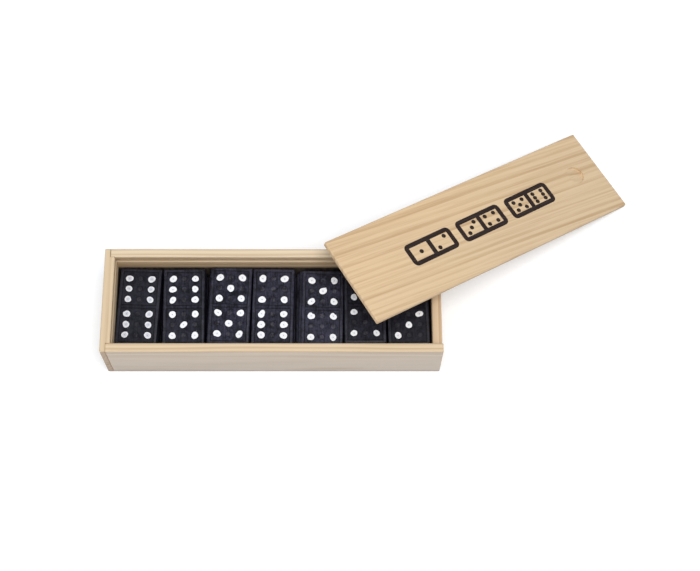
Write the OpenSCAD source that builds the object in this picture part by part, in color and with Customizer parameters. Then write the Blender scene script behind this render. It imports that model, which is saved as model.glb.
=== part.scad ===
// Wooden box for a double six domino set, with its sliding lid taken out and leaned on one corner.
// Millimetres, +Z up. The origin is the middle of the underside, +X runs towards the open end.

/* [Box] */
// Outside length of the box
box_l = 150; // [130:1:190]
// Outside depth of the box, from front to back
box_d = 48.4; // [46:0.2:60]
// Outside height of the box
box_h = 28.3; // [26:0.1:40]
// Thickness of the front and back boards
side_t = 4.0; // [3.6:0.1:6]
// Thickness of the closed end board
closed_end_t = 4.5; // [4:0.1:7]
// Thickness of the open end board
open_end_t = 4.2; // [3:0.1:6]
// Wood left outside each corner rabbet of the closed end board
corner_tongue = 2.4; // [1.5:0.1:3]
// Thickness of the bottom panel
bottom_t = 2.6; // [2:0.1:4]
// How far the bottom panel reaches into the boards around it
bottom_seat = 1.8; // [1:0.1:2.4]
// Eased edge of the boards
board_ease = 0.35; // [0.1:0.05:0.6]

/* [Lid and groove] */
// Thickness of the lid
lid_t = 2.6; // [2:0.1:3.5]
// Wood above the lid groove
groove_lip = 2.9; // [2:0.1:4]
// Depth of the lid groove in the boards
groove_deep = 1.8; // [1:0.1:2.4]
// Running clearance of the lid in the groove, over its thickness
lid_play_t = 0.4; // [0.2:0.1:0.8]
// Running clearance of the lid in the grooves, over its width
lid_play_w = 0.6; // [0.3:0.1:1.2]
// Gap at the closed end when the lid is shut and flush
lid_end_gap = 0.4; // [0.2:0.1:1]
// Drop from the groove to the open end board
open_end_drop = 0.2; // [0.1:0.1:1]
// Eased edge of the lid
lid_ease = 0.45; // [0.1:0.05:0.8]

/* [Thumb notch] */
// Diameter of the cutter that made the thumb notch
notch_d = 9; // [7:0.5:14]
// Tilt of the cutter, which leaves one side of the notch deep
notch_tilt = 7; // [5:1:12]
// Depth of the notch at its deep side
notch_deep = 1.0; // [0.5:0.1:1.6]
// Middle of the notch from the lid's outer end
notch_inset = 14.4; // [10:0.2:24]
// Middle of the notch from the lid's middle line, towards the side that faces away from the box
notch_aside = 2.1; // [0:0.1:4]

/* [Leaning lid] */
// Turn of the lid from the box's length
lean_turn = 31.9; // [20:0.1:45]
// Level distance from the box's corner to the lid's low edge, along the lid
lean_reach = 93.8; // [80:0.2:110]
// Level distance from the box's corner to the lid's middle line
lean_offset = 2.6; // [0:0.2:10]
// Gap between the lid and the corner that carries it
lean_gap = 0.2; // [0.1:0.1:0.5]

/* [Tiles] */
// Free length along a row of seven tiles in the box
row_spare = 11.1; // [7:0.1:18]
// Free room at a tile's two ends together
end_spare = 3.9; // [2.5:0.1:6]
// Thickness of a tile
tile_t = 3.5; // [2.5:0.1:3.8]
// Eased edge of a tile
tile_ease = 0.5; // [0.2:0.05:0.7]
// Air left under each tile by its uneven faces
tile_air = 0.1; // [0.05:0.05:0.2]
// Distance of the pressed frame lines from the tile's edge
frame_inset = 1.3; // [1:0.1:2]
// Plain bar left between the frames of the two halves
bar_w = 1.1; // [0.6:0.1:2]
// Width of the pressed lines and rings
line_w = 0.35; // [0.2:0.05:0.6]
// Depth of the pressed lines
line_deep = 0.15; // [0.1:0.05:0.3]
// Outer diameter of the ring pressed at each place that has no pip
ring_d = 2.8; // [2:0.1:3.2]
// Depth of those rings
ring_deep = 0.1; // [0.05:0.05:0.2]
// Diameter of a pip
pip_d = 3.1; // [2:0.1:3.4]
// Depth of a pip
pip_deep = 0.4; // [0.2:0.05:0.6]
// Distance from the tile's long edge to the middle of the outer pips
pip_side = 4.3; // [4:0.1:5]
// Distance from the tile's short edge to the middle of the outer pips
pip_end = 4.8; // [4:0.1:5.5]
// Distance from the tile's middle line to the middle of the nearest pips
pip_inner = 3.45; // [2.5:0.05:4]

/* [Hidden] */
overcut = 1;
$fn = 48;
layers = 4;

// The double six set by column, the lowest tile first. The last of each column is the one that shows.
// The first number is the end towards the back board.
COLUMNS = [
    [[0, 0], [1, 3], [2, 5], [6, 6]],
    [[0, 1], [1, 4], [2, 6], [6, 5]],
    [[0, 2], [1, 5], [3, 3], [5, 5]],
    [[0, 3], [1, 6], [3, 4], [4, 6]],
    [[0, 4], [2, 2], [3, 5], [5, 4]],
    [[0, 5], [1, 1], [2, 3], [4, 4]],
    [[0, 6], [1, 2], [2, 4], [6, 3]]
];
columns = len(COLUMNS);

// How the loose tiles lie. Gaps are shares of the free length, from the closed end to the open end.
GAPS = [0.065, 0.158, 0.176, 0.068, 0.326, 0.049, 0.054, 0.104];
// Turn of each column's top tile, as a share of the most that the mean gap allows
TURNS = [-0.77, 0.5, -0.62, -0.28, -0.44, 0.08, 0.61];
// Shift of each column's top tile towards the back, as a share of its room
SHIFTS = [0.47, 0.37, 0.77, 0.42, -0.08, 0.95, 0.45];
// The tiles below lie straighter and nearer to the back: share of the top tile's turn, share of its
// shift, and a shift of their own
BELOW = [[0.3, 0.2, 0.6], [0.5, 0.15, 0.72], [0.7, 0.25, 0.62], [1, 1, 0]];
// Steps aside of the three tiles under each top tile, the lowest first, in mean gaps
STEPS = [
    [0.25, 0.04, 0.02], [0.25, 0.02, -0.02], [0.02, -0.03, -0.5], [0.4, 0.05, 0.02],
    [0.15, -1.6, -0.9], [0, 0.02, 0], [-0.04, 0.03, 0]
];

function tile_name(c, k) = str("tile_", max(COLUMNS[c][k]), "_", min(COLUMNS[c][k]));
TILE_NAMES = [for (c = [0 : columns - 1], k = [0 : layers - 1]) tile_name(c, k)];

// Inside of the box
in_x0 = -box_l / 2 + closed_end_t;
in_x1 = box_l / 2 - open_end_t;
in_l = in_x1 - in_x0;
in_d = box_d - 2 * side_t;

// Lid groove, open at the box's open end
groove_h = lid_t + lid_play_t;
groove_z = box_h - groove_lip - groove_h;
open_end_h = groove_z - open_end_drop;

lid_w = in_d + 2 * groove_deep - lid_play_w;
lid_l = box_l - closed_end_t + groove_deep - lid_end_gap;

// The leaning lid turns about its low edge, which rests on the table
corner = [box_l / 2, box_d / 2, box_h];
along = [cos(lean_turn), sin(lean_turn)];
low_edge = [
    corner[0] + lean_reach * along[0] - lean_offset * along[1],
    corner[1] + lean_reach * along[1] + lean_offset * along[0],
    lean_gap
];
lean = atan(box_h / lean_reach);

// Tiles as long and wide as the box's room allows, with their free room left
tile_w = (in_l - row_spare) / columns;
tile_l = in_d - end_spare;
mean_gap = row_spare / columns;

// Steps between neighbouring pips, and the middle row of each half
pip_across = tile_w / 2 - pip_side;
pip_along = (tile_l / 2 - pip_end - pip_inner) / 2;
half_centre = pip_inner + pip_along;

function sum_to(list, last) = last < 0 ? 0 : list[last] + sum_to(list, last - 1);
function turn_of(c, k) = BELOW[k][0] * TURNS[c] * atan(mean_gap / tile_l);
function half_reach(turn) = (tile_l * cos(turn) + tile_w * abs(sin(turn))) / 2;
function step_aside(c, k) = k == layers - 1 ? 0 : STEPS[c][k] * mean_gap;
function tile_x(c, k) = in_x0 + row_spare * sum_to(GAPS, c) + (c + 0.5) * tile_w + step_aside(c, k);
function tile_y(c, k) = (BELOW[k][1] * SHIFTS[c] + BELOW[k][2]) * (in_d / 2 - half_reach(turn_of(c, k)));
function tile_z(k) = bottom_t + tile_air + k * (tile_t + tile_air);

// Whether a half of this value has a pip at a place of its three by three grid, from its middle.
// Across and along are -1, 0 or 1. A half with pips on one diagonal only has them where both are alike.
function has_pip(value, across, along) =
    across == 0 ? along == 0 && value % 2 == 1
    : along == 0 ? value == 6
    : across == along ? value >= 2
    : value >= 4;

// A block with every edge eased, from its lowest corner
module eased_block(size, ease) {
    intersection() {
        translate([0, 0, -overcut]) linear_extrude(size[2] + 2 * overcut) eased_outline([size[0], size[1]], ease);
        translate([0, size[1] + overcut, 0]) rotate([90, 0, 0]) linear_extrude(size[1] + 2 * overcut)
            eased_outline([size[0], size[2]], ease);
        translate([-overcut, 0, 0]) rotate([90, 0, 90]) linear_extrude(size[0] + 2 * overcut)
            eased_outline([size[1], size[2]], ease);
    }
}

module eased_outline(size, ease) {
    polygon([
        [ease, 0], [size[0] - ease, 0], [size[0], ease], [size[0], size[1] - ease],
        [size[0] - ease, size[1]], [ease, size[1]], [0, size[1] - ease], [0, ease]
    ]);
}

// The lid groove as a slot around the inside, which the side boards and the closed end share
module groove_cut() {
    translate([in_x0 - groove_deep, -in_d / 2 - groove_deep, groove_z])
        cube([box_l + overcut, in_d + 2 * groove_deep, groove_h]);
}

// The seat that the bottom panel fills
module bottom_cut(extra) {
    translate([in_x0 - bottom_seat, -in_d / 2 - bottom_seat, -extra])
        cube([in_l + 2 * bottom_seat, in_d + 2 * bottom_seat, bottom_t + extra]);
}

module side_board() {
    joint_x = -box_l / 2 + corner_tongue;
    difference() {
        translate([joint_x, in_d / 2, 0]) eased_block([box_l / 2 - joint_x, side_t, box_h], board_ease);
        groove_cut();
        bottom_cut(overcut);
    }
}

module side_back() {
    color([0.86, 0.75, 0.58]) side_board();
}

module side_front() {
    color([0.86, 0.75, 0.58]) mirror([0, 1, 0]) side_board();
}

module end_closed() {
    color([0.84, 0.72, 0.54]) difference() {
        translate([-box_l / 2, -box_d / 2, 0]) eased_block([closed_end_t, box_d, box_h], board_ease);
        for (side = [-1, 1]) translate([-box_l / 2 + corner_tongue, side * (in_d + side_t) / 2, box_h / 2])
            corner_cut();
        groove_cut();
        bottom_cut(overcut);
    }
}

// One corner rabbet of the closed end, filled by a side board
module corner_cut() {
    translate([0, -side_t / 2, -box_h / 2 - overcut]) cube([closed_end_t, side_t, box_h + 2 * overcut]);
}

module end_open() {
    color([0.85, 0.73, 0.56]) difference() {
        translate([in_x1, -in_d / 2, 0]) eased_block([open_end_t, in_d, open_end_h], board_ease);
        bottom_cut(overcut);
    }
}

module bottom_panel() {
    color([0.80, 0.67, 0.48]) bottom_cut(0);
}

// The lid lying flat with its outer end's lower edge on the Y axis
module lid_flat() {
    difference() {
        translate([-lid_l, -lid_w / 2, 0]) eased_block([lid_l, lid_w, lid_t], lid_ease);
        translate([-notch_inset, notch_aside, lid_t]) rotate([0, notch_tilt, 0])
            translate([0, 0, -notch_deep + notch_d / 2 * tan(notch_tilt)]) cylinder(d = notch_d, h = lid_t * 2);
    }
}

module lid() {
    color([0.88, 0.76, 0.58]) translate(low_edge) rotate([0, lean, lean_turn]) lid_flat();
}

// The frame line pressed round one half of a tile's face, whose top is at zero
module half_frame() {
    frame = [tile_w - 2 * frame_inset, (tile_l - bar_w) / 2 - frame_inset];
    translate([0, (bar_w + frame[1]) / 2, -line_deep]) linear_extrude(overcut) difference() {
        square(frame, center = true);
        square([frame[0] - 2 * line_w, frame[1] - 2 * line_w], center = true);
    }
}

// A pip is a round hollow, and the press leaves a thin ring where a pip could be
module pip_cut() {
    ball_r = (pow(pip_d / 2, 2) + pow(pip_deep, 2)) / (2 * pip_deep);
    translate([0, 0, ball_r - pip_deep]) sphere(ball_r);
}

module ring_cut() {
    translate([0, 0, -ring_deep]) linear_extrude(overcut) difference() {
        circle(d = ring_d);
        circle(d = ring_d - 2 * line_w);
    }
}

module half_face(value) {
    half_frame();
    for (across = [-1 : 1], step = [-1 : 1]) translate([across * pip_across, half_centre + step * pip_along, 0])
        if (has_pip(value, across, step)) pip_cut(); else ring_cut();
}

module tile_blank(values) {
    difference() {
        translate([-tile_w / 2, -tile_l / 2, 0]) eased_block([tile_w, tile_l, tile_t], tile_ease);
        for (end = [0, 1]) translate([0, 0, tile_t]) rotate([0, 0, 180 * end]) half_face(values[end]);
    }
}

module tile(c, k) {
    color([0.12, 0.12, 0.13]) translate([tile_x(c, k), tile_y(c, k), tile_z(k)])
        rotate([0, 0, turn_of(c, k)]) tile_blank(COLUMNS[c][k]);
}

end_closed();
end_open();
side_front();
side_back();
bottom_panel();
lid();
for (c = [0 : columns - 1], k = [0 : layers - 1]) tile(c, k);
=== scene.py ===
"""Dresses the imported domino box: bare pine boards, the leaning lid and a double six set of black tiles."""

import logging
import math
import random
from collections.abc import Callable
from dataclasses import dataclass, field
from enum import Enum, IntEnum

import bmesh
import bpy
import numpy as np
from mathutils import Matrix, Vector


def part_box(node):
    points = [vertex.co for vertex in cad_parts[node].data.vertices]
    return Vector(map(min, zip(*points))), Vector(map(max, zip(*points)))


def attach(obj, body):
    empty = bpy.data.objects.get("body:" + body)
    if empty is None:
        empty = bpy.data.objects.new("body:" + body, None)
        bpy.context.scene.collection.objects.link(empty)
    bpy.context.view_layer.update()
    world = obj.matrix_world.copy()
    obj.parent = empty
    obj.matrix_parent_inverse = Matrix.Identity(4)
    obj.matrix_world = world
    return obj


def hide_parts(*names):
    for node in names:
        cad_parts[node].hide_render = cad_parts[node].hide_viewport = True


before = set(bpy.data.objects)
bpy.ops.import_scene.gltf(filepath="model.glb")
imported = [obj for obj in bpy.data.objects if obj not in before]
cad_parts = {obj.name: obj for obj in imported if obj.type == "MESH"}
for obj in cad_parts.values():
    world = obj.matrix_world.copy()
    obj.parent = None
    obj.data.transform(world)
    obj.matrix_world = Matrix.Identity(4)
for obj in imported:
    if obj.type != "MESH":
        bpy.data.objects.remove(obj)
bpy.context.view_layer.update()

LOG = logging.getLogger("domino_box")
MM = 0.001
PHOTO_WIDTH = 700
# Slack for picking faces by their place, in millimetres
HAIR = 0.01
# Vertex attribute that says how worn the lacquer is and how thin the paint lies
WEAR = "wear"

Colour = tuple[float, float, float]
Point = tuple[float, float, float]
Socket = bpy.types.NodeSocket
Value = Socket | float | tuple


def place(origin: Vector, turn_z: float = 0.0, turn_y: float = 0.0) -> Matrix:
    """Gives the matrix of a place that leans and turns.

    Args:
        origin: the place's own origin, in metres.
        turn_z: turn about the upright axis, in degrees.
        turn_y: lean about the place's own cross axis, in degrees, taken before the turn.

    Returns:
        A 4x4 matrix from the place's own axes to the scene's.
    """
    turn = Matrix.Rotation(math.radians(turn_z), 4, "Z")
    lean = Matrix.Rotation(math.radians(turn_y), 4, "Y")
    return Matrix.Translation(origin) @ turn @ lean


# Node trees


class Sketch:
    """The nodes of a material or a world, added one after another from the coordinates to the shader."""

    def __init__(self, owner: bpy.types.Material | bpy.types.World) -> None:
        """Starts without nodes.

        Args:
            owner: the material or world that the nodes belong to.
        """
        self.owner = owner
        self.owner.use_nodes = True
        self.tree = self.owner.node_tree
        self.tree.nodes.clear()

    def add(self, kind: str, feeds: dict | None = None, **settings: object) -> bpy.types.Node:
        """Adds one node.

        Args:
            kind: the node's type name.
            feeds: value or socket for each input, by the input's name or number.
            settings: properties of the node.

        Returns:
            The new node.
        """
        node = self.tree.nodes.new(kind)
        for key, value in settings.items():
            setattr(node, key, value)
        for key, value in (feeds or {}).items():
            self.feed(node.inputs[key], value)
        return node

    def feed(self, socket: Socket, value: Value) -> None:
        """Links an input to another node's output, or sets its own value.

        Args:
            socket: the input.
            value: the output, number, vector or colour. A colour may leave out its alpha.
        """
        if isinstance(value, Socket):
            self.tree.links.new(value, socket)
        elif socket.type == "RGBA" and len(value) == 3:
            socket.default_value = (*value, 1.0)
        else:
            socket.default_value = value

    def math(self, operation: str, a: Value, b: Value = 0.0, c: Value = 0.0) -> Socket:
        """Adds a math node and returns its result."""
        return self.add("ShaderNodeMath", {0: a, 1: b, 2: c}, operation=operation).outputs[0]

    def vector(self, operation: str, a: Value, b: Value = (0.0, 0.0, 0.0)) -> bpy.types.Node:
        """Adds a vector math node."""
        return self.add("ShaderNodeVectorMath", {0: a, 1: b}, operation=operation)

    def stretched(self, point: Value, by: tuple) -> Socket:
        """Scales a point's axes, each by its own number."""
        return self.vector("MULTIPLY", point, by).outputs[0]

    def drawn(self, point: Value, share: float) -> Socket:
        """Draws a pattern out along X, whose numbers shrink to this share."""
        return self.stretched(point, (share, 1.0, 1.0))

    def noise(self, point: Value, scale: float, detail: float = 2.0, rough: float = 0.5) -> Socket:
        """Gives a noise value round zero, from about -0.5 to 0.5."""
        feeds = {"Vector": point, "Scale": scale, "Detail": detail, "Roughness": rough}
        return self.math("SUBTRACT", self.add("ShaderNodeTexNoise", feeds).outputs[0], 0.5)

    def smooth(
        self, value: Value, low: float, high: float, to_low: float = 0.0, to_high: float = 1.0
    ) -> Socket:
        """Maps a value from one range to another with soft ends, and keeps it within."""
        feeds = {0: value, 1: low, 2: high, 3: to_low, 4: to_high}
        return self.add("ShaderNodeMapRange", feeds, interpolation_type="SMOOTHSTEP").outputs[0]

    def mix(self, share: Value, a: Value, b: Value, blend: str = "MIX") -> Socket:
        """Mixes two colours.

        Args:
            share: how much of the second colour goes in, from 0 to 1.
            a: the first colour.
            b: the second colour.
            blend: how they mix, by the node's own name for it.

        Returns:
            The mixed colour.
        """
        node = self.add("ShaderNodeMix", data_type="RGBA", blend_type=blend)
        # The node's colour inputs and output come after those for numbers and vectors
        for number, value in ((0, share), (6, a), (7, b)):
            self.feed(node.inputs[number], value)
        return node.outputs[2]

    def tinted(self, colour: Value, tint: Value) -> Socket:
        """Multiplies a colour by another one."""
        return self.mix(1.0, colour, tint, "MULTIPLY")

    def bump(self, height: Value, distance: float, strength: float = 1.0) -> Socket:
        """Turns a height into a bent normal. The distance is in metres."""
        feeds = {"Height": height, "Distance": distance, "Strength": strength}
        return self.add("ShaderNodeBump", feeds).outputs[0]

    def spot(self) -> Socket:
        """Gives the surface's point in the scene's axes, in millimetres."""
        return self.stretched(self.add("ShaderNodeTexCoord").outputs["Object"], (1 / MM,) * 3)

    def board_spot(self, board: Matrix, centred: bool = True) -> Socket:
        """Gives the surface's point in a board's axes, in millimetres.

        Args:
            board: place of the board's grain axes in the scene, whose X runs along the grain.
            centred: whether it is counted from the board's own origin, and not from the scene's.

        Returns:
            The point.
        """
        back = board.inverted()
        feeds = {
            "Vector": self.add("ShaderNodeTexCoord").outputs["Object"],
            "Location": tuple(x / MM * centred for x in back.translation),
            "Rotation": back.to_euler("XYZ"),
            "Scale": (1 / MM,) * 3,
        }
        return self.add("ShaderNodeMapping", feeds).outputs[0]

    def finish(
        self, colour: Value, rough: Value, normal: Value | None = None, gloss: float = 0.5
    ) -> bpy.types.Material:
        """Ends the material in one plain shader.

        Args:
            colour: base colour.
            rough: roughness.
            normal: bent normal, if the surface has relief.
            gloss: strength of the mirror-like part.

        Returns:
            The finished material.
        """
        feeds = {"Base Color": colour, "Roughness": rough, "Specular IOR Level": gloss}
        if normal is not None:
            feeds["Normal"] = normal
        shader = self.add("ShaderNodeBsdfPrincipled", feeds).outputs[0]
        self.add("ShaderNodeOutputMaterial", {0: shader})
        return self.owner


# Finishes


@dataclass(frozen=True)
class PaintedShade:
    """Painted shade on the box's wood: near black in its room below the tiles' top, and growing darker
    towards its foot.

    The room is half its length and width, and heights are where each tone starts and where it is full,
    in millimetres.
    """

    room: tuple[float, float] = (71.0, 20.6)
    edge: float = 0.4
    room_shade_tone: Colour = (0.038, 0.032, 0.029)
    room_shade_heights: tuple[float, float] = (18.0, 14.5)
    low_tone: Colour = (0.86, 0.87, 0.89)
    low_heights: tuple[float, float] = (27.0, 3.0)
    foot_tone: Colour = (0.72, 0.72, 0.74)
    foot_heights: tuple[float, float] = (3.0, 0.4)

    def over(self, k: Sketch, wood: Value) -> Socket:
        """Lays the painted shade over the clean wood.

        Args:
            k: the material's nodes.
            wood: the clean wood's colour.

        Returns:
            The shaded colour.
        """
        spot = k.spot()
        either_side = k.vector("ABSOLUTE", spot).outputs[0]
        out_x, out_y, height = k.add("ShaderNodeSeparateXYZ", {0: either_side}).outputs
        within = [k.smooth(out, half + self.edge, half) for out, half in zip((out_x, out_y), self.room)]
        patchy = k.noise(k.stretched(spot, (1.0, 1.0, 0.25)), scale=0.5, detail=3.0, rough=0.6)
        rub_and_room_shade = k.math("MULTIPLY", k.math("MULTIPLY", *within), k.smooth(patchy, -0.25, 0.15, 0.88, 1.0))
        rub_and_room_shade = k.math("MULTIPLY", rub_and_room_shade, k.smooth(height, *self.room_shade_heights))
        # Painted shade: near black in patches, inside the box's room below the tiles' top
        wood = k.mix(rub_and_room_shade, wood, self.room_shade_tone)
        # Painted shade: darker down the boards towards the foot, and darker still at the foot itself
        wood = k.mix(k.smooth(height, *self.low_heights, 0.0, 0.6), wood, k.tinted(wood, self.low_tone))
        return k.mix(k.smooth(height, *self.foot_heights), wood, k.tinted(wood, self.foot_tone))


@dataclass(frozen=True)
class PineFinish:
    """Bare sanded pine: yearly rings round a pith line, fine fibres along it and darker end grain.

    The lengths are in millimetres and lie in the board's own axes, whose X runs along the grain.
    """

    name: str
    pale: Colour
    ring_tone: Colour
    ring_gap: float
    pith: tuple[float, float]
    end_tone: Colour
    face_tone: Colour = (1.0, 1.0, 1.0)
    drift: Colour = (1.0, 1.0, 1.0)
    drift_way: Point = (0.005, -0.010, 0.0)
    patch_tone: Colour = (0.93, 0.94, 0.98)
    pore_tone: Colour = (0.40, 0.35, 0.32)
    wander: float = 1.6
    ring_depth: float = 0.85
    sharpness: float = 1.15
    fibre: float = 0.16
    streaks: float = 0.60
    rough: float = 0.62
    relief: float = 0.06
    painted_shade: PaintedShade | None = PaintedShade()

    def material(self, board: Matrix) -> bpy.types.Material:
        """Builds the finish for one board.

        Args:
            board: place of the board's grain axes in the scene.

        Returns:
            The material, which reads object coordinates.
        """
        k = Sketch(bpy.data.materials.new(self.name))
        grain = k.board_spot(board)
        late = self.late_wood(k, grain)
        fine = k.noise(k.drawn(grain, 0.020), scale=2.6, detail=3.0, rough=0.65)
        wood = self.long_wood(k, grain, late, fine)

        on_ends, on_faces = (k.smooth(self.facing(k, board, axis), 0.75, 0.97) for axis in ("X", "Y"))
        wood = k.mix(on_faces, wood, k.tinted(wood, self.face_tone))
        wood = k.mix(on_ends, wood, self.end_wood(k, grain, wood))
        # Painted shade inside the box's room and towards the box's foot
        if self.painted_shade:
            wood = self.painted_shade.over(k, wood)

        height = k.math("MULTIPLY_ADD", fine, 0.9, k.math("MULTIPLY", late, 0.25))
        rough = k.math("MULTIPLY_ADD", fine, 0.16, self.rough)
        return k.finish(wood, rough, k.bump(height, self.relief * MM, 0.5), gloss=0.30)

    def late_wood(self, k: Sketch, grain: Value) -> Socket:
        """Gives the yearly rings, which grow dark through each year and end sharply.

        Args:
            k: the material's nodes.
            grain: the point in the board's axes.

        Returns:
            How much dark late wood shows, from 0 to 1.
        """
        slow = k.noise(k.drawn(grain, 0.10), scale=0.055)
        from_pith = k.vector("SUBTRACT", k.drawn(grain, 0.0), (0.0, *self.pith)).outputs[0]
        reach = k.vector("LENGTH", from_pith).outputs["Value"]
        years = k.math("DIVIDE", k.math("MULTIPLY_ADD", slow, self.wander * 4, reach), self.ring_gap)
        year = k.math("FLOOR", years)
        season = k.math("FRACT", years)
        luck = k.add("ShaderNodeTexWhiteNoise", {"W": year}, noise_dimensions="1D").outputs["Value"]
        rise = k.math("POWER", k.smooth(season, 0.05, 0.80), self.sharpness)
        late = k.math("MULTIPLY", rise, k.smooth(season, 1.0, 0.82))
        return k.math("MULTIPLY", late, k.smooth(luck, 0.0, 1.0, 0.35, 1.0))

    def long_wood(self, k: Sketch, grain: Value, late: Value, fine: Value) -> Socket:
        """Gives the colour of the wood along its grain.

        Args:
            k: the material's nodes.
            grain: the point in the board's axes.
            late: how much late wood shows.
            fine: the finest fibres.

        Returns:
            The clean wood's colour.
        """
        streak = k.noise(k.drawn(grain, 0.016), scale=1.15, rough=0.6)
        middling = k.noise(k.drawn(grain, 0.05), scale=0.45)
        tone = k.math("MULTIPLY_ADD", fine, self.fibre * 2.6, k.math("MULTIPLY", late, self.ring_depth))
        tone = k.math("MULTIPLY_ADD", streak, self.streaks, k.math("MULTIPLY_ADD", middling, 0.5, tone))
        wood = k.mix(k.smooth(tone, -0.25, 1.1), self.pale, self.ring_tone)
        patch = k.smooth(k.noise(k.drawn(grain, 0.25), scale=0.05, detail=1.0), -0.25, 0.25)
        wood = k.mix(k.math("MULTIPLY", patch, 0.35), wood, self.patch_tone, "MULTIPLY")
        across = k.vector("DOT_PRODUCT", grain, self.drift_way).outputs["Value"]
        return k.mix(k.smooth(across, -0.5, 0.5), wood, k.tinted(wood, self.drift))

    def end_wood(self, k: Sketch, grain: Value, wood: Value) -> Socket:
        """Gives the colour of the end grain, with its open pores.

        Args:
            k: the material's nodes.
            grain: the point in the board's axes.
            wood: the colour of the wood along its grain.

        Returns:
            The clean end grain's colour.
        """
        end = k.tinted(wood, self.end_tone)
        pores = k.smooth(k.noise(grain, scale=5.0), -0.1, 0.25, 0.0, 0.35)
        return k.mix(pores, end, k.tinted(end, self.pore_tone))

    def facing(self, k: Sketch, board: Matrix, axis: str) -> Socket:
        """Gives how squarely the surface faces along one of the board's axes.

        Args:
            k: the material's nodes.
            board: place of the board's grain axes in the scene.
            axis: the axis's letter.

        Returns:
            A value from 0 to 1, alike for both directions.
        """
        normal = k.add("ShaderNodeNewGeometry").outputs["Normal"]
        along = tuple(board.col["XYZ".index(axis)].xyz)
        return k.math("ABSOLUTE", k.vector("DOT_PRODUCT", normal, along).outputs["Value"])


@dataclass(frozen=True)
class LacquerFinish:
    """Black satin lacquer over pressed wood, mottled with as much dust as the attribute 'wear' says."""

    name: str = "black_lacquer"
    colour: Colour = (0.0020, 0.0022, 0.0060)
    fresh: Colour = (0.0080, 0.0080, 0.0090)
    worn: Colour = (0.051, 0.051, 0.095)
    rough: float = 0.38
    gloss: float = 0.22
    relief: float = 0.08

    def material(self) -> bpy.types.Material:
        """Builds the lacquer.

        Returns:
            The material, which reads object coordinates.
        """
        k = Sketch(bpy.data.materials.new(self.name))
        spot = k.spot()
        fibre = k.noise(k.stretched(spot, (1.0, 0.12, 1.0)), scale=1.6, detail=3.0, rough=0.6)
        cloud = k.noise(spot, scale=0.35)
        wide = k.noise(spot, scale=0.035, detail=1.0)
        speck = k.noise(spot, scale=1.2, detail=3.0, rough=0.75)
        tone = k.math("ADD", k.math("ADD", fibre, wide), k.math("MULTIPLY_ADD", speck, 1.5, cloud))
        wear = k.add("ShaderNodeAttribute", attribute_name=WEAR).outputs["Fac"]
        colour = k.mix(k.smooth(tone, -0.45, 0.45), self.colour, k.mix(wear, self.fresh, self.worn))
        height = k.math("MULTIPLY_ADD", speck, 0.8, fibre)
        rough = k.math("MULTIPLY_ADD", cloud, 0.25, self.rough)
        return k.finish(colour, rough, k.bump(height, self.relief * MM, 0.6), self.gloss)


# The border round a tile's frames, where hands and other tiles rub it
RIM_LACQUER = LacquerFinish(
    name="black_lacquer_rim",
    colour=(0.008, 0.0085, 0.014),
    fresh=(0.020, 0.020, 0.026),
    worn=(0.060, 0.060, 0.104),
    rough=0.42,
    gloss=0.26,
)
# The pressed frame lines, darker than the face: painted shade in their grooves
FRAME_LINE_SHADE_LACQUER = LacquerFinish(
    name="black_lacquer_line_shade",
    colour=(0.0015, 0.0015, 0.0030),
    fresh=(0.004, 0.004, 0.006),
    worn=(0.012, 0.012, 0.018),
    rough=0.6,
    gloss=0.18,
)
# The dots inside the empty rings, which hold dust
DOT_LACQUER = LacquerFinish(
    name="black_lacquer_dot",
    colour=(0.006, 0.006, 0.009),
    fresh=(0.014, 0.014, 0.016),
    worn=(0.105, 0.102, 0.140),
    rough=0.55,
    gloss=0.20,
)


@dataclass(frozen=True)
class PaintFinish:
    """White paint dabbed by hand into the pips. The attribute 'wear' says how thin it lies."""

    name: str = "white_paint"
    colour: Colour = (0.945, 0.96, 1.0)
    thin: Colour = (0.41, 0.43, 0.53)
    rough: float = 0.42
    relief: float = 0.08

    def material(self) -> bpy.types.Material:
        """Builds the paint.

        Returns:
            The material, which reads object coordinates.
        """
        k = Sketch(bpy.data.materials.new(self.name))
        wear = k.add("ShaderNodeAttribute", attribute_name=WEAR).outputs["Fac"]
        uneven = k.noise(k.spot(), scale=1.4, detail=3.0, rough=0.6)
        share = k.smooth(k.math("MULTIPLY_ADD", uneven, 0.5, wear), 0.05, 0.95)
        colour = k.mix(share, self.colour, self.thin)
        rough = k.math("MULTIPLY_ADD", uneven, 0.3, self.rough)
        return k.finish(colour, rough, k.bump(uneven, self.relief * MM, 0.5), 0.45)


@dataclass(frozen=True)
class InkFinish:
    """Near-black printed ink that lets a little of the grain show."""

    name: str = "lid_ink"
    colour: Colour = (0.019, 0.0095, 0.0075)
    rub_and_room_shade: Colour = (0.060, 0.044, 0.036)
    rough: float = 0.55
    relief: float = 0.05

    def material(self, board: Matrix) -> bpy.types.Material:
        """Builds the ink, with its streaks along the board's grain.

        Args:
            board: place of the board's grain axes in the scene.

        Returns:
            The material, which reads object coordinates.
        """
        k = Sketch(bpy.data.materials.new(self.name))
        grain = k.board_spot(board, centred=False)
        streak = k.noise(k.drawn(grain, 0.08), scale=2.2, detail=3.0, rough=0.6)
        colour = k.mix(k.smooth(streak, -0.05, 0.35), self.colour, self.rub_and_room_shade)
        rough = k.math("MULTIPLY_ADD", streak, 0.2, self.rough)
        return k.finish(colour, rough, k.bump(streak, self.relief * MM, 0.5), 0.25)


@dataclass(frozen=True)
class JointShadeFinish:
    """Painted shade of the gap in a joint, dark brown with paler patches."""

    name: str = "joint_gap_shade"
    colour: Colour = (0.16, 0.085, 0.035)
    pale: Colour = (0.34, 0.22, 0.12)
    rough: float = 0.6

    def material(self) -> bpy.types.Material:
        """Builds the glue.

        Returns:
            The material, which reads object coordinates.
        """
        k = Sketch(bpy.data.materials.new(self.name))
        patchy = k.smooth(k.noise(k.spot(), scale=0.9), -0.2, 0.3)
        return k.finish(k.mix(patchy, self.colour, self.pale), self.rough)


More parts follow.
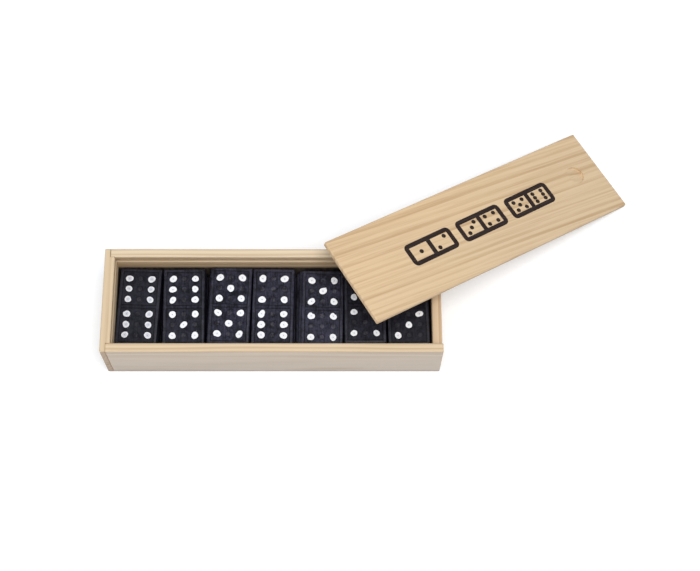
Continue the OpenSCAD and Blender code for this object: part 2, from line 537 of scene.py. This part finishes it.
@dataclass(frozen=True)
class FloorFinish:
    """A plain white floor, which keeps the object's shadow and throws less light back than it shows."""

    name: str = "studio_floor"
    colour: Colour = (0.86, 0.87, 0.89)
    bounce: Colour = (0.62, 0.62, 0.64)
    lift: float = 0.22

    def material(self) -> bpy.types.Material:
        """Builds the floor's material, with a little light of its own for camera and mirror rays.

        Returns:
            The material.
        """
        k = Sketch(bpy.data.materials.new(self.name))
        path = k.add("ShaderNodeLightPath").outputs
        seen = k.math("MAXIMUM", path["Is Camera Ray"], path["Is Glossy Ray"])
        matt = k.add("ShaderNodeBsdfDiffuse", {"Color": k.mix(seen, self.bounce, self.colour)}).outputs[0]
        glow = k.add("ShaderNodeEmission", {"Strength": k.math("MULTIPLY", seen, self.lift)}).outputs[0]
        both = k.add("ShaderNodeAddShader", {0: matt, 1: glow}).outputs[0]
        k.add("ShaderNodeOutputMaterial", {0: both})
        return k.owner


# Mesh helpers


def clear_selection() -> None:
    """Leaves edit mode and deselects every object."""
    if bpy.context.object and bpy.context.object.mode != "OBJECT":
        bpy.ops.object.mode_set(mode="OBJECT")
    bpy.ops.object.select_all(action="DESELECT")


def only(piece: bpy.types.Object) -> None:
    """Makes one object the selected and active one.

    Args:
        piece: the object.
    """
    clear_selection()
    piece.select_set(True)
    bpy.context.view_layer.objects.active = piece


def pick_faces(piece: bpy.types.Object, wanted: Callable[[Vector, Vector], bool]) -> None:
    """Selects the faces that a test picks, and no others.

    Args:
        piece: the object, which is in edit mode.
        wanted: a test that takes a face's middle and normal.
    """
    bpy.ops.mesh.select_mode(type="FACE")
    bpy.ops.mesh.select_all(action="DESELECT")
    mesh = bmesh.from_edit_mesh(piece.data)
    for face in mesh.faces:
        face.select = wanted(face.calc_center_bounds(), face.normal)
    mesh.select_flush_mode()
    bmesh.update_edit_mesh(piece.data)


def settle(piece: bpy.types.Object, at: Matrix) -> None:
    """Moves an object to its place and applies that to its mesh.

    Args:
        piece: the object.
        at: its place in the scene.
    """
    only(piece)
    piece.matrix_world = at @ piece.matrix_world
    bpy.context.view_layer.update()
    bpy.ops.object.transform_apply(location=True, rotation=True, scale=True)


def joined(pieces: list[bpy.types.Object], name: str) -> bpy.types.Object:
    """Joins objects into the first of them.

    Args:
        pieces: the objects, two or more.
        name: the name of what they make.

    Returns:
        The joined object.
    """
    clear_selection()
    for piece in pieces:
        piece.select_set(True)
    bpy.context.view_layer.objects.active = pieces[0]
    bpy.ops.object.join()
    pieces[0].name = pieces[0].data.name = name
    return pieces[0]


def dress(piece: bpy.types.Object, *materials: bpy.types.Material) -> None:
    """Puts materials into an object's slots, and keeps which face has which.

    Args:
        piece: the object.
        materials: the materials, from the first slot on.
    """
    slots = piece.data.materials
    for number, material in enumerate(materials):
        if number < len(slots):
            slots[number] = material
        else:
            slots.append(material)


# Box


class Grain(Enum):
    """Which way a board's grain runs, as a turn from the box's length in degrees."""

    ALONG = 0.0
    ACROSS = 90.0


@dataclass
class BoardDress:
    """One board of the box and how its wood lies. The pith and the ring gap are in millimetres."""

    node: str
    grain: Grain
    pith: tuple[float, float]
    ring_gap: float
    tint: Colour
    face_tone: Colour = (1.0, 1.0, 1.0)
    end_tone: Colour = (0.88, 0.81, 0.76)
    slope: float = 0.0


@dataclass
class StorageBox:
    """The five glued boards of the box, which keep their solids and get their wood."""

    pale: Colour = (0.80, 0.645, 0.455)
    ring_tone: Colour = (0.60, 0.44, 0.275)
    boards: list[BoardDress] = field(
        default_factory=lambda: [
            BoardDress(
                "side_front",
                Grain.ALONG,
                (-55.0, -6.0),
                1.9,
                (0.92, 0.90, 0.867),
                # Painted cool light: the front board's broad faces are tinted paler and bluer than its wood
                face_tone=(1.06, 1.15, 1.39),
            ),
            BoardDress(
                "side_back",
                Grain.ALONG,
                (60.0, 36.0),
                2.1,
                (0.97, 0.985, 1.0),
                face_tone=(0.98, 0.885, 0.78),
                slope=0.4,
            ),
            BoardDress(
                "end_closed",
                Grain.ACROSS,
                (50.0, 40.0),
                2.6,
                (0.88, 0.855, 0.81),
                # Painted cool light: the closed end's end grain is kept nearly as pale as its faces and
                # tinted blue, like the front board's faces
                end_tone=(0.95, 0.93, 1.04),
            ),
            BoardDress("end_open", Grain.ACROSS, (-60.0, 30.0), 2.4, (0.93, 0.86, 0.80)),
            BoardDress("bottom_panel", Grain.ALONG, (20.0, -90.0), 2.8, (0.74, 0.64, 0.54)),
        ]
    )

    def dress(self) -> None:
        """Gives each board its own cut of the wood."""
        for board in self.boards:
            low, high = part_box(board.node)
            at = place((low + high) / 2, board.grain.value + board.slope)
            pale, tone = (tuple(a * b for a, b in zip(x, board.tint)) for x in (self.pale, self.ring_tone))
            finish = PineFinish(
                f"pine_{board.node}", pale, tone, board.ring_gap, board.pith, board.end_tone, board.face_tone
            )
            dress(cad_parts[board.node], finish.material(at))
            LOG.info("%s: pine, grain %s", board.node, board.grain.name.lower())


@dataclass
class JointSeam:
    """The dark line round the back board's end, where it is let into the closed end: painted shade of the
    joint's gap. Millimetres.
    """

    width: float = 0.34
    sunk: float = 0.03
    deep: float = 0.25
    short: float = 0.3

    def build(self) -> None:
        """Builds the line on the rim as two thin bars that follow the joint."""
        (side_low, side_high), (_, end_high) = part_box("side_back"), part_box("end_closed")
        inner = side_low.y + self.width / 2 * MM
        runs = (
            (side_low.x, inner, side_low.x + self.width * MM, side_high.y - self.short * MM),
            (side_low.x, side_low.y - self.width / 2 * MM, end_high.x, inner),
        )
        middle_z = side_high.z - (self.sunk + self.deep / 2) * MM
        bars = []
        for x0, y0, x1, y1 in runs:
            clear_selection()
            bpy.ops.mesh.primitive_cube_add(size=1, location=((x0 + x1) / 2, (y0 + y1) / 2, middle_z))
            bars.append(bpy.context.object)
            bars[-1].scale = (x1 - x0, y1 - y0, self.deep * MM)
            bpy.ops.object.transform_apply(location=True, scale=True)
        piece = joined(bars, "joint_seam")
        # Painted shade in the joint's gap
        dress(piece, JointShadeFinish().material())
        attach(piece, "box")
        LOG.info("joint_seam: %d faces", len(piece.data.polygons))


# Lid


@dataclass
class SlidingLid:
    """The lid board as it leans on the box. Its own axes are those of the lid lying flat.

    The lid's outer end is at X 0 and the board runs towards -X. The sizes repeat the solid's, in millimetres.
    """

    length: float = 146.9
    thick: float = 2.6
    turn: float = 31.9
    reach: float = 93.8
    offset: float = 2.6
    gap: float = 0.2
    corner: Point = (75.0, 24.2, 28.3)
    grain_slope: float = -4.4
    wood: PineFinish = PineFinish(
        name="pine_lid",
        pale=(0.745, 0.546, 0.332),
        ring_tone=(0.545, 0.360, 0.195),
        ring_gap=2.35,
        pith=(36.6, -29.4),
        # Painted highlight: the lid's end grain is paler than its faces
        end_tone=(1.12, 1.13, 1.16),
        drift=(0.94, 0.965, 1.01),
        wander=0.7,
        ring_depth=0.68,
        fibre=0.42,
        streaks=1.5,
        painted_shade=None,
    )

    @property
    def lean(self) -> float:
        """The lid's slope, in degrees."""
        return math.degrees(math.atan(self.corner[2] / self.reach))

    def place(self) -> Matrix:
        """Gives the place of the leaning lid's own axes.

        Returns:
            A matrix from the lid's axes to the scene's.
        """
        turn = math.radians(self.turn)
        out = Vector((math.cos(turn), math.sin(turn), 0))
        side = Vector((-math.sin(turn), math.cos(turn), 0))
        edge = Vector((self.corner[0], self.corner[1], 0)) + out * self.reach + side * self.offset
        edge.z = self.gap
        return place(edge * MM, self.turn, self.lean)

    def grain(self) -> Matrix:
        """Gives the place of the lid's grain, which slopes a little to its length."""
        middle = Matrix.Translation(Vector((-self.length / 2, 0, self.thick / 2)) * MM)
        return self.place() @ middle @ Matrix.Rotation(math.radians(self.grain_slope), 4, "Z")

    def dress(self) -> None:
        """Gives the lid its straight-grained pine."""
        dress(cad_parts["lid"], self.wood.material(self.grain()))
        LOG.info("lid: pine, leaning at %.1f degrees", self.lean)


@dataclass
class LidPrint:
    """A row of three outlined dominoes printed on the lid, with one to six pips in their halves.

    Places and sizes are in millimetres, in the lid's own axes.
    """

    lid: SlidingLid
    middle: float = -73.6
    aside: float = -0.3
    turn: float = 0.7
    length: float = 84.0
    height: float = 11.4
    between: float = 3.6
    stroke: float = 2.2
    corner: float = 2.4
    pip: float = 1.05
    pip_step: tuple[float, float] = (2.5, 2.15)
    ink: float = 0.05
    sunk: float = 0.02

    def outline(self, length: float, x: float) -> bpy.types.Object:
        """Makes one domino's outline with its middle bar, flat on Z 0.

        Args:
            length: the domino's length in millimetres.
            x: its middle along the row, in millimetres.

        Returns:
            The outline.
        """
        clear_selection()
        bpy.ops.mesh.primitive_plane_add(size=1, location=(x * MM, 0, 0))
        piece = bpy.context.object
        piece.scale = (length * MM, self.height * MM, 1)
        bpy.ops.object.transform_apply(location=True, scale=True)
        bpy.ops.object.mode_set(mode="EDIT")
        bpy.ops.mesh.select_all(action="SELECT")
        bpy.ops.mesh.bevel(offset=self.corner * MM, segments=6, affect="VERTICES")
        bpy.ops.mesh.select_all(action="SELECT")
        bpy.ops.mesh.inset(thickness=self.stroke * MM)

        middle = x * MM
        half_bar = self.stroke / 2 * MM
        window = (length / 2 - self.stroke) * MM, (self.height / 2 - self.stroke) * MM
        for side in (-1, 1):
            pick_faces(piece, lambda c, n: abs(c.x - middle) < window[0] / 2 and abs(c.y) < window[1] / 2)
            bpy.ops.mesh.bisect(plane_co=(middle + side * half_bar, 0, 0), plane_no=(1, 0, 0))
        past_bar = half_bar + HAIR * MM
        pick_faces(piece, lambda c, n: past_bar < abs(c.x - middle) < window[0] and abs(c.y) < window[1] / 2)
        bpy.ops.mesh.delete(type="FACE")
        bpy.ops.object.mode_set(mode="OBJECT")
        return piece

    def dot(self, x: float, y: float) -> bpy.types.Object:
        """Makes one printed pip, flat on Z 0.

        Args:
            x: its middle along the row, in millimetres.
            y: its middle across the row, in millimetres.

        Returns:
            The pip.
        """
        clear_selection()
        at = (x * MM, y * MM, 0)
        bpy.ops.mesh.primitive_circle_add(vertices=20, radius=self.pip * MM, fill_type="NGON", location=at)
        bpy.ops.object.transform_apply(location=True)
        return bpy.context.object

    def build(self) -> None:
        """Builds the whole print on the lid's upper face."""
        each = (self.length - 2 * self.between) / 3
        flat = []
        for number in range(3):
            x = self.middle + (number - 1) * (each + self.between)
            flat.append(self.outline(each, x))
            for half in (0, 1):
                centre = x + (half - 0.5) * (each / 2 - self.stroke / 2)
                for across, along in pip_places(2 * number + half + 1):
                    flat.append(self.dot(centre + across * self.pip_step[0], along * self.pip_step[1]))
        piece = joined(flat, "lid_print")
        bpy.ops.object.mode_set(mode="EDIT")
        bpy.ops.mesh.select_all(action="SELECT")
        bpy.ops.mesh.extrude_region_move(TRANSFORM_OT_translate={"value": (0, 0, self.ink * MM)})
        bpy.ops.mesh.select_all(action="SELECT")
        bpy.ops.mesh.normals_make_consistent(inside=False)
        bpy.ops.object.mode_set(mode="OBJECT")
        lift = Matrix.Translation((0, self.aside * MM, (self.lid.thick - self.sunk) * MM))
        to_middle = Matrix.Translation((self.middle * MM, 0, 0))
        turn = to_middle @ Matrix.Rotation(math.radians(self.turn), 4, "Z") @ to_middle.inverted()
        settle(piece, self.lid.place() @ lift @ turn)
        dress(piece, InkFinish().material(self.lid.grain()))
        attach(piece, "lid")
        LOG.info("lid_print: %d faces", len(piece.data.polygons))


# Tiles


class TileSlot(IntEnum):
    """A tile's material slots."""

    FACE = 0
    PAINT = 1
    RIM = 2
    LINE = 3
    DOT = 4


def pip_places(value: int) -> list[tuple[int, int]]:
    """Gives the places of a value's pips on a half.

    Args:
        value: from 0 to 6.

    Returns:
        Each pip's place across and along the half, from -1 to 1.
    """
    places = [(0, 0)] if value % 2 else []
    if value >= 2:
        places += [(-1, -1), (1, 1)]
    if value >= 4:
        places += [(-1, 1), (1, -1)]
    if value == 6:
        places += [(-1, 0), (1, 0)]
    return places


@dataclass
class TileBlank:
    """A tile with its pressed face and no paint, modelled once and copied for each tile. Millimetres."""

    width: float = 18.6
    length: float = 36.5
    thick: float = 3.5
    ease: float = 0.55
    frame_inset: float = 1.3
    bar: float = 1.1
    line: float = 0.38
    line_deep: float = 0.2
    ring_r: float = 1.30
    ring_line: float = 0.22
    ring_flat: float = 0.7
    pip_step: float = 5.0
    half_centre: float = 8.45

    def spots(self) -> list[tuple[int, int, int, float, float]]:
        """Lists all the places that a pip can have.

        Returns:
            For each place, its half (0 towards the back), its place across and along that half, and its
            x and y on the tile in millimetres.
        """
        places = []
        for half in (0, 1):
            turn = 1 - 2 * half
            for across in (-1, 0, 1):
                for along in (-1, 0, 1):
                    y = turn * (self.half_centre + along * self.pip_step)
                    places.append((half, across, along, turn * across * self.pip_step, y))
        return places

    def build(self) -> bpy.types.Object:
        """Models the blank.

        Returns:
            The blank, lying on Z 0 with its middle on the Z axis.
        """
        piece = self.slab()
        self.press_frames(piece)
        self.mark_faces(piece)
        self.press_rings(piece)
        self.mark_dots(piece)
        only(piece)
        bpy.ops.object.shade_smooth_by_angle(angle=math.radians(40))
        LOG.info("tile blank: %d faces", len(piece.data.polygons))
        return piece

    def slab(self) -> bpy.types.Object:
        """Makes the slab with rounded edges.

        Returns:
            The slab.
        """
        clear_selection()
        bpy.ops.mesh.primitive_cube_add(size=1, location=(0, 0, self.thick / 2 * MM))
        piece = bpy.context.object
        piece.scale = (self.width * MM, self.length * MM, self.thick * MM)
        bpy.ops.object.transform_apply(location=True, scale=True)
        bpy.ops.object.mode_set(mode="EDIT")
        bpy.ops.mesh.select_all(action="SELECT")
        bpy.ops.mesh.bevel(offset=self.ease * MM, segments=3, affect="EDGES")
        bpy.ops.object.mode_set(mode="OBJECT")
        return piece

    def press_frames(self, piece: bpy.types.Object) -> None:
        """Presses the frame line round each half of the top face.

        Args:
            piece: the slab.
        """
        only(piece)
        bpy.ops.object.mode_set(mode="EDIT")
        top = (self.thick - HAIR) * MM
        pick_faces(piece, lambda c, n: c.z > top and n.z > 0.99)
        bpy.ops.mesh.inset(thickness=(self.frame_inset - self.ease) * MM)
        wide = (self.width / 2 - self.frame_inset) * MM / 2
        reach = (self.length / 2 - self.frame_inset) * MM * 0.9
        for side in (-1, 1):
            pick_faces(piece, lambda c, n: c.z > top and abs(c.x) < wide and abs(c.y) < reach)
            bpy.ops.mesh.bisect(plane_co=(0, side * self.bar / 2 * MM, 0), plane_no=(0, 1, 0))
        past_bar = self.bar * 0.75 * MM
        pick_faces(piece, lambda c, n: c.z > top and abs(c.x) < wide and past_bar < abs(c.y) < reach)
        bpy.ops.mesh.inset(thickness=self.line * MM, use_individual=True, use_select_inset=True)
        bpy.ops.mesh.extrude_region_move(TRANSFORM_OT_translate={"value": (0, 0, -self.line_deep * MM)})
        bpy.ops.object.mode_set(mode="OBJECT")

    def mark_faces(self, piece: bpy.types.Object) -> None:
        """Gives the border round the frames the rim's material, and the frame lines their own darker one,
        painted shade in their grooves.

        Args:
            piece: the slab with its frames.
        """
        inside = (self.width / 2 - self.frame_inset) * MM, (self.length / 2 - self.frame_inset) * MM
        sunk = (self.thick - HAIR) * MM
        for face in piece.data.polygons:
            if abs(face.center.x) > inside[0] or abs(face.center.y) > inside[1]:
                face.material_index = TileSlot.RIM if face.normal.z > 0.3 else TileSlot.FACE
            elif self.thick / 2 * MM < face.center.z < sunk:
                face.material_index = TileSlot.LINE

    def press_rings(self, piece: bpy.types.Object) -> None:
        """Presses a ring, with a dot left in its middle, at each place that a pip can have.

        Args:
            piece: the slab with its frames.
        """
        cutters = []
        for *_, x, y in self.spots():
            clear_selection()
            bpy.ops.mesh.primitive_torus_add(
                location=(x * MM, y * MM, self.thick * MM),
                major_radius=self.ring_r * MM,
                minor_radius=self.ring_line * MM,
                major_segments=18,
                minor_segments=6,
            )
            cutter = bpy.context.object
            cutter.scale = (1, 1, self.ring_flat)
            bpy.ops.object.transform_apply(location=True, scale=True)
            cutters.append(cutter)
        cutter = joined(cutters, "ring_cutters")
        only(piece)
        cut = piece.modifiers.new("rings", "BOOLEAN")
        cut.operation, cut.solver, cut.object = "DIFFERENCE", "MANIFOLD", cutter
        bpy.ops.object.modifier_apply(modifier=cut.name)
        bpy.data.objects.remove(cutter)

    def mark_dots(self, piece: bpy.types.Object) -> None:
        """Gives the dots left inside the rings their own material.

        Args:
            piece: the slab with its rings.
        """
        spots = [Vector((x, y, self.thick)) * MM for *_, x, y in self.spots()]
        dot_area = math.pi * (self.ring_r * MM) ** 2
        near = 0.2 * MM
        for face in piece.data.polygons:
            if face.area < dot_area and min((face.center - spot).length for spot in spots) < near:
                face.material_index = TileSlot.DOT


@dataclass
class PipBlob:
    """The template of one dab of paint, a closed cushion with a dip round its middle. Millimetres.

    Each step goes inwards and rises. The paint lies thin in a dot of the given share of the radius, and
    a little in a ring: how much, how far out, and how wide.
    """

    radius: float = 1.6
    sides: int = 18
    below: float = 0.10
    above: float = 0.02
    steps: tuple = ((0.10, 0.045), (0.32, 0.0), (0.42, -0.045), (0.34, 0.03), (0.26, -0.015))
    thin_dot: float = 0.19
    thin_ring: tuple[float, float, float] = (0.28, 0.5, 0.1)

    def build(self) -> bpy.types.Object:
        """Models the dab from a low cylinder by insets that rise and sink.

        Returns:
            The dab, with the tile's face at Z 0.
        """
        clear_selection()
        depth = (self.below + self.above) * MM
        middle = (0, 0, self.above * MM - depth / 2)
        bpy.ops.mesh.primitive_cylinder_add(
            vertices=self.sides, radius=self.radius * MM, depth=depth, location=middle
        )
        piece = bpy.context.object
        bpy.ops.object.transform_apply(location=True)
        bpy.ops.object.mode_set(mode="EDIT")
        pick_faces(piece, lambda c, n: n.z > 0.99)
        for inward, rise in self.steps:
            bpy.ops.mesh.inset(thickness=inward * MM, depth=0.0)
            bpy.ops.transform.translate(value=(0, 0, rise * MM))
        bpy.ops.object.mode_set(mode="OBJECT")
        return piece

    def thinness(self, reach: float) -> float:
        """Gives how thin the paint lies at a share of the dab's radius.

        Args:
            reach: the share, 0 in the middle and 1 at the edge.

        Returns:
            0 where the paint is full, and about 1 where it is thinnest.
        """
        share, out, width = self.thin_ring
        return math.exp(-((reach / self.thin_dot) ** 2)) + share * math.exp(-(((reach - out) / width) ** 2))


@dataclass
class Tile:
    """One domino: its two values, its finish and the solid whose place it takes."""

    back: int
    front: int
    coverage: float
    dab: float
    wear: float
    odd: dict = field(default_factory=dict)

    @property
    def node(self) -> str:
        """The name of the tile's solid and of its body."""
        return f"tile_{max(self.back, self.front)}_{min(self.back, self.front)}"

    def place(self) -> Matrix:
        """Reads the tile's place from its solid: the middle of its box and the turn of its long edges.

        Returns:
            A matrix from the blank's axes to the scene's.
        """
        low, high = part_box(self.node)
        corners = np.array([v.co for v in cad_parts[self.node].data.vertices])
        foot = np.unique(corners[corners[:, 2] < corners[:, 2].min() + 1e-6].round(7), axis=0)[:, :2]
        _, axes = np.linalg.eigh(np.cov((foot - foot.mean(axis=0)).T))
        along = axes[:, 1] * math.copysign(1, axes[1, 1])
        middle = Vector(((low.x + high.x) / 2, (low.y + high.y) / 2, low.z))
        return place(middle, math.degrees(math.atan2(-along[0], along[1])))


@dataclass
class DominoSet:
    """The 28 tiles in seven columns of four, the lowest first. Each replaces its solid.

    Coverage, dabs and wear go by column: how full the paint is, how large its dabs, and how dusty the
    lacquer. The waves are the unevenness of a dab's edge: how many round it, and how strong.
    """

    columns: tuple = (
        ((0, 0), (1, 3), (2, 5), (6, 6)),
        ((0, 1), (1, 4), (2, 6), (6, 5)),
        ((0, 2), (1, 5), (3, 3), (5, 5)),
        ((0, 3), (1, 6), (3, 4), (4, 6)),
        ((0, 4), (2, 2), (3, 5), (5, 4)),
        ((0, 5), (1, 1), (2, 3), (4, 4)),
        ((0, 6), (1, 2), (2, 4), (6, 3)),
    )
    coverage: tuple = (0.68, 1.0, 0.98, 1.0, 0.98, 1.0, 0.95)
    dabs: tuple = (0.97, 0.97, 1.0, 1.02, 1.02, 0.88, 0.92)
    wear: tuple = (0.24, 0.44, 0.74, 0.64, 0.68, 0.34, 0.22)
    blank: TileBlank = field(default_factory=TileBlank)
    blob: PipBlob = field(default_factory=PipBlob)
    waves: tuple = ((1, 0.05), (2, 0.10), (3, 0.05), (5, 0.02))
    shift: float = 0.05
    # column, half, across, along: direction in degrees, how much longer, and length of a drawn-out tip
    odd_dabs: dict = field(
        default_factory=lambda: {
            (1, 0, -1, -1): (45, 0.13, 0.12),
            (1, 1, 0, 0): (40, 0.15, 0.08),
            (2, 0, -1, -1): (-40, 0.10, 0.0),
            (2, 1, 1, -1): (-40, 0.10, 0.0),
            (2, 1, 1, 1): (-30, 0.14, 0.0),
            (2, 1, -1, 1): (70, 0.12, 0.0),
            (3, 0, -1, 1): (80, 0.12, 0.0),
            (3, 1, 1, -1): (75, 0.13, 0.08),
            (4, 0, 0, 0): (50, 0.0, 0.30),
            (4, 0, -1, -1): (30, 0.16, 0.0),
            (4, 1, 1, -1): (60, 0.0, -0.3),
            (4, 1, -1, -1): (55, 0.0, -0.3),
            (6, 1, -1, -1): (0, 0.18, 0.0),
        }
    )

    def finishes(self) -> list[bpy.types.Material]:
        """Builds the tiles' materials.

        Returns:
            One material for each slot, in the slots' order.
        """
        looks = {
            TileSlot.FACE: LacquerFinish(),
            TileSlot.PAINT: PaintFinish(),
            TileSlot.RIM: RIM_LACQUER,
            TileSlot.LINE: FRAME_LINE_SHADE_LACQUER,
            TileSlot.DOT: DOT_LACQUER,
        }
        return [looks[slot].material() for slot in TileSlot]

    def build(self) -> None:
        """Builds every tile from one blank and one dab of paint."""
        blank, blob = self.blank.build(), self.blob.build()
        finishes = self.finishes()
        draw = random.Random(28)
        for number, (column, *tones) in enumerate(zip(self.columns, self.coverage, self.dabs, self.wear)):
            for back, front in column:
                tile = Tile(back, front, *tones)
                if (back, front) == column[-1]:
                    tile.odd = {spot[1:]: way for spot, way in self.odd_dabs.items() if spot[0] == number}
                piece = self.tile(tile, blank, blob, draw)
                dress(piece, *finishes)
                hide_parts(tile.node)
                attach(piece, tile.node)
                LOG.info("%s: %d faces", piece.name, len(piece.data.polygons))
        bpy.data.objects.remove(blank)
        bpy.data.objects.remove(blob)

    def tile(
        self, tile: Tile, blank: bpy.types.Object, blob: bpy.types.Object, draw: random.Random
    ) -> bpy.types.Object:
        """Copies the blank, dabs its pips and lays it in its place.

        Args:
            tile: the tile's values and finish.
            blank: the finished blank.
            blob: the template of one dab.
            draw: source of the hand's unevenness.

        Returns:
            The tile as one object at the origin.
        """
        mesh = bmesh.new()
        mesh.from_mesh(blank.data)
        wear = mesh.verts.layers.float.new(WEAR)
        for v in mesh.verts:
            v[wear] = tile.wear
        values = (tile.back, tile.front)
        for half, across, along, x, y in self.blank.spots():
            if (across, along) in pip_places(values[half]):
                at = Vector((x, y, self.blank.thick)) * MM
                odd = tile.odd.get((half, across, along), (0, 0, 0))
                self.dab(mesh, wear, blob.data, at, tile, odd, draw)
        data = bpy.data.meshes.new(tile.node)
        mesh.to_mesh(data)
        mesh.free()
        piece = bpy.data.objects.new(f"domino_{tile.node[5:]}", data)
        bpy.context.scene.collection.objects.link(piece)
        settle(piece, tile.place())
        return piece

    def dab(
        self,
        mesh: bmesh.types.BMesh,
        wear: bmesh.types.BMLayerItem,
        template: bpy.types.Mesh,
        at: Vector,
        tile: Tile,
        odd: tuple[float, float, float],
        draw: random.Random,
    ) -> None:
        """Adds one uneven dab of paint to a tile's mesh.

        Args:
            mesh: the tile's mesh.
            wear: the vertex layer that says where paint lies thin.
            template: the dab's mesh round the origin.
            at: the pip's middle on the tile.
            tile: the tile, which says how large and how full its dabs are.
            odd: direction in degrees, how much longer, and length of a tip, for a dab that isn't round.
            draw: source of the hand's unevenness.
        """
        size = tile.dab * draw.uniform(0.95, 1.05)
        shift = Vector((draw.gauss(0, self.shift), draw.gauss(0, self.shift), 0)) * MM
        waves = [(n, draw.uniform(0, math.tau), draw.uniform(0.2, 1.0) * w) for n, w in self.waves]
        heading, longer, tip = math.radians(odd[0]), odd[1], odd[2]
        full = self.blob.radius * MM
        dots = []
        for v in template.vertices:
            reach = math.hypot(v.co.x, v.co.y) / full
            angle = math.atan2(v.co.y, v.co.x)
            swell = sum(w * math.cos(n * angle - t) for n, t, w in waves)
            swell += longer * math.cos(2 * (angle - heading))
            swell += tip * max(0.0, math.cos(angle - heading)) ** 20
            swell = size * (1 + reach**2 * swell)
            dot = mesh.verts.new(at + shift + Vector((v.co.x * swell, v.co.y * swell, v.co.z)))
            dot[wear] = min(1.0, self.blob.thinness(reach) + (1 - tile.coverage))
            dots.append(dot)
        for face in template.polygons:
            made = mesh.faces.new([dots[i] for i in face.vertices])
            made.material_index = TileSlot.PAINT
            made.smooth = True


# Studio


@dataclass(frozen=True)
class Softbox:
    """A square lamp of soft light. Its place, aim and side are in metres, and its power in watts."""

    name: str
    at: Point
    aim: Point
    side: float
    power: float
    colour: Colour

    def hang(self) -> None:
        """Adds the lamp, turned to its aim."""
        data = bpy.data.lights.new(self.name, "AREA")
        data.shape, data.size, data.energy, data.color = "SQUARE", self.side, self.power, self.colour
        lamp = bpy.data.objects.new(self.name, data)
        bpy.context.scene.collection.objects.link(lamp)
        lamp.location = self.at
        lamp.rotation_euler = (Vector(self.aim) - Vector(self.at)).to_track_quat("-Z", "Y").to_euler()


@dataclass
class Studio:
    """The photograph's camera, a pale floor and soft plain light.

    The focal length is in pixels of the photograph, the camera's place and the floor's drop in
    millimetres, its angles in degrees and the floor's side in metres.
    """

    focal: float = 1450.8
    stand: Point = (27.34, -223.2, 628.4)
    pitch: float = 69.03
    yaw: float = 1.719
    roll: float = 1.652
    sensor: float = 36.0
    floor_side: float = 12.0
    floor_drop: float = 0.02
    world: Colour = (0.90, 0.95, 1.02)
    world_strength: float = 0.55
    lamps: tuple[Softbox, ...] = (
        Softbox("top_softbox", (0.16, -0.32, 1.24), (0.02, 0.0, 0.0), 0.7, 10.7, (1.0, 0.968, 0.912)),
        Softbox("side_softbox", (-1.0, 0.5, 0.8), (0.03, 0.0, 0.01), 0.8, 1.5, (0.93, 0.97, 1.0)),
    )

    def camera(self) -> None:
        """Sets the camera as solved from the box's corners."""
        clear_selection()
        data = bpy.data.cameras.new("photo_camera")
        data.sensor_width = self.sensor
        data.lens = self.sensor * self.focal / PHOTO_WIDTH
        data.clip_start, data.clip_end = 0.01, 20
        camera = bpy.data.objects.new("photo_camera", data)
        bpy.context.scene.collection.objects.link(camera)
        pitch, yaw, roll = (math.radians(x) for x in (self.pitch, self.yaw, self.roll))
        ahead = Vector((math.sin(yaw) * math.cos(pitch), math.cos(yaw) * math.cos(pitch), -math.sin(pitch)))
        right = Vector((math.cos(yaw), -math.sin(yaw), 0))
        up = right.cross(ahead)
        turned = math.cos(roll) * right + math.sin(roll) * up
        upright = math.cos(roll) * up - math.sin(roll) * right
        axes = Matrix((turned, upright, -ahead)).transposed()
        camera.matrix_world = Matrix.Translation(Vector(self.stand) * MM) @ axes.to_4x4()
        bpy.context.scene.camera = camera

    def floor(self) -> None:
        """Lays the floor that the box stands on."""
        clear_selection()
        bpy.ops.mesh.primitive_plane_add(size=1, location=(0, 0, -self.floor_drop * MM))
        floor = bpy.context.object
        floor.name = "floor"
        floor.scale = (self.floor_side, self.floor_side, 1)
        bpy.ops.object.transform_apply(location=True, scale=True)
        dress(floor, FloorFinish().material())

    def light(self) -> None:
        """Lights the object from a pale room, which the camera sees white, and from the softboxes."""
        k = Sketch(bpy.data.worlds.new("pale_room"))
        lit = k.add("ShaderNodeBackground", {"Color": self.world, "Strength": self.world_strength}).outputs[0]
        white = k.add("ShaderNodeBackground", {"Strength": 1.0}).outputs[0]
        seen = k.add("ShaderNodeLightPath").outputs["Is Camera Ray"]
        both = k.add("ShaderNodeMixShader", {0: seen, 1: lit, 2: white}).outputs[0]
        k.add("ShaderNodeOutputWorld", {0: both})
        bpy.context.scene.world = k.owner
        for lamp in self.lamps:
            lamp.hang()

    def build(self) -> None:
        """Sets the whole studio and the plain view transform."""
        self.camera()
        self.floor()
        self.light()
        bpy.context.scene.view_settings.view_transform = "Standard"


def main() -> None:
    """Builds the studio, then the box, the lid and the tiles."""
    logging.basicConfig(level=logging.INFO, format="%(name)s: %(message)s")
    Studio().build()
    StorageBox().dress()
    JointSeam().build()
    lid = SlidingLid()
    lid.dress()
    LidPrint(lid).build()
    DominoSet().build()
    clear_selection()


if __name__ == "__main__":
    main()
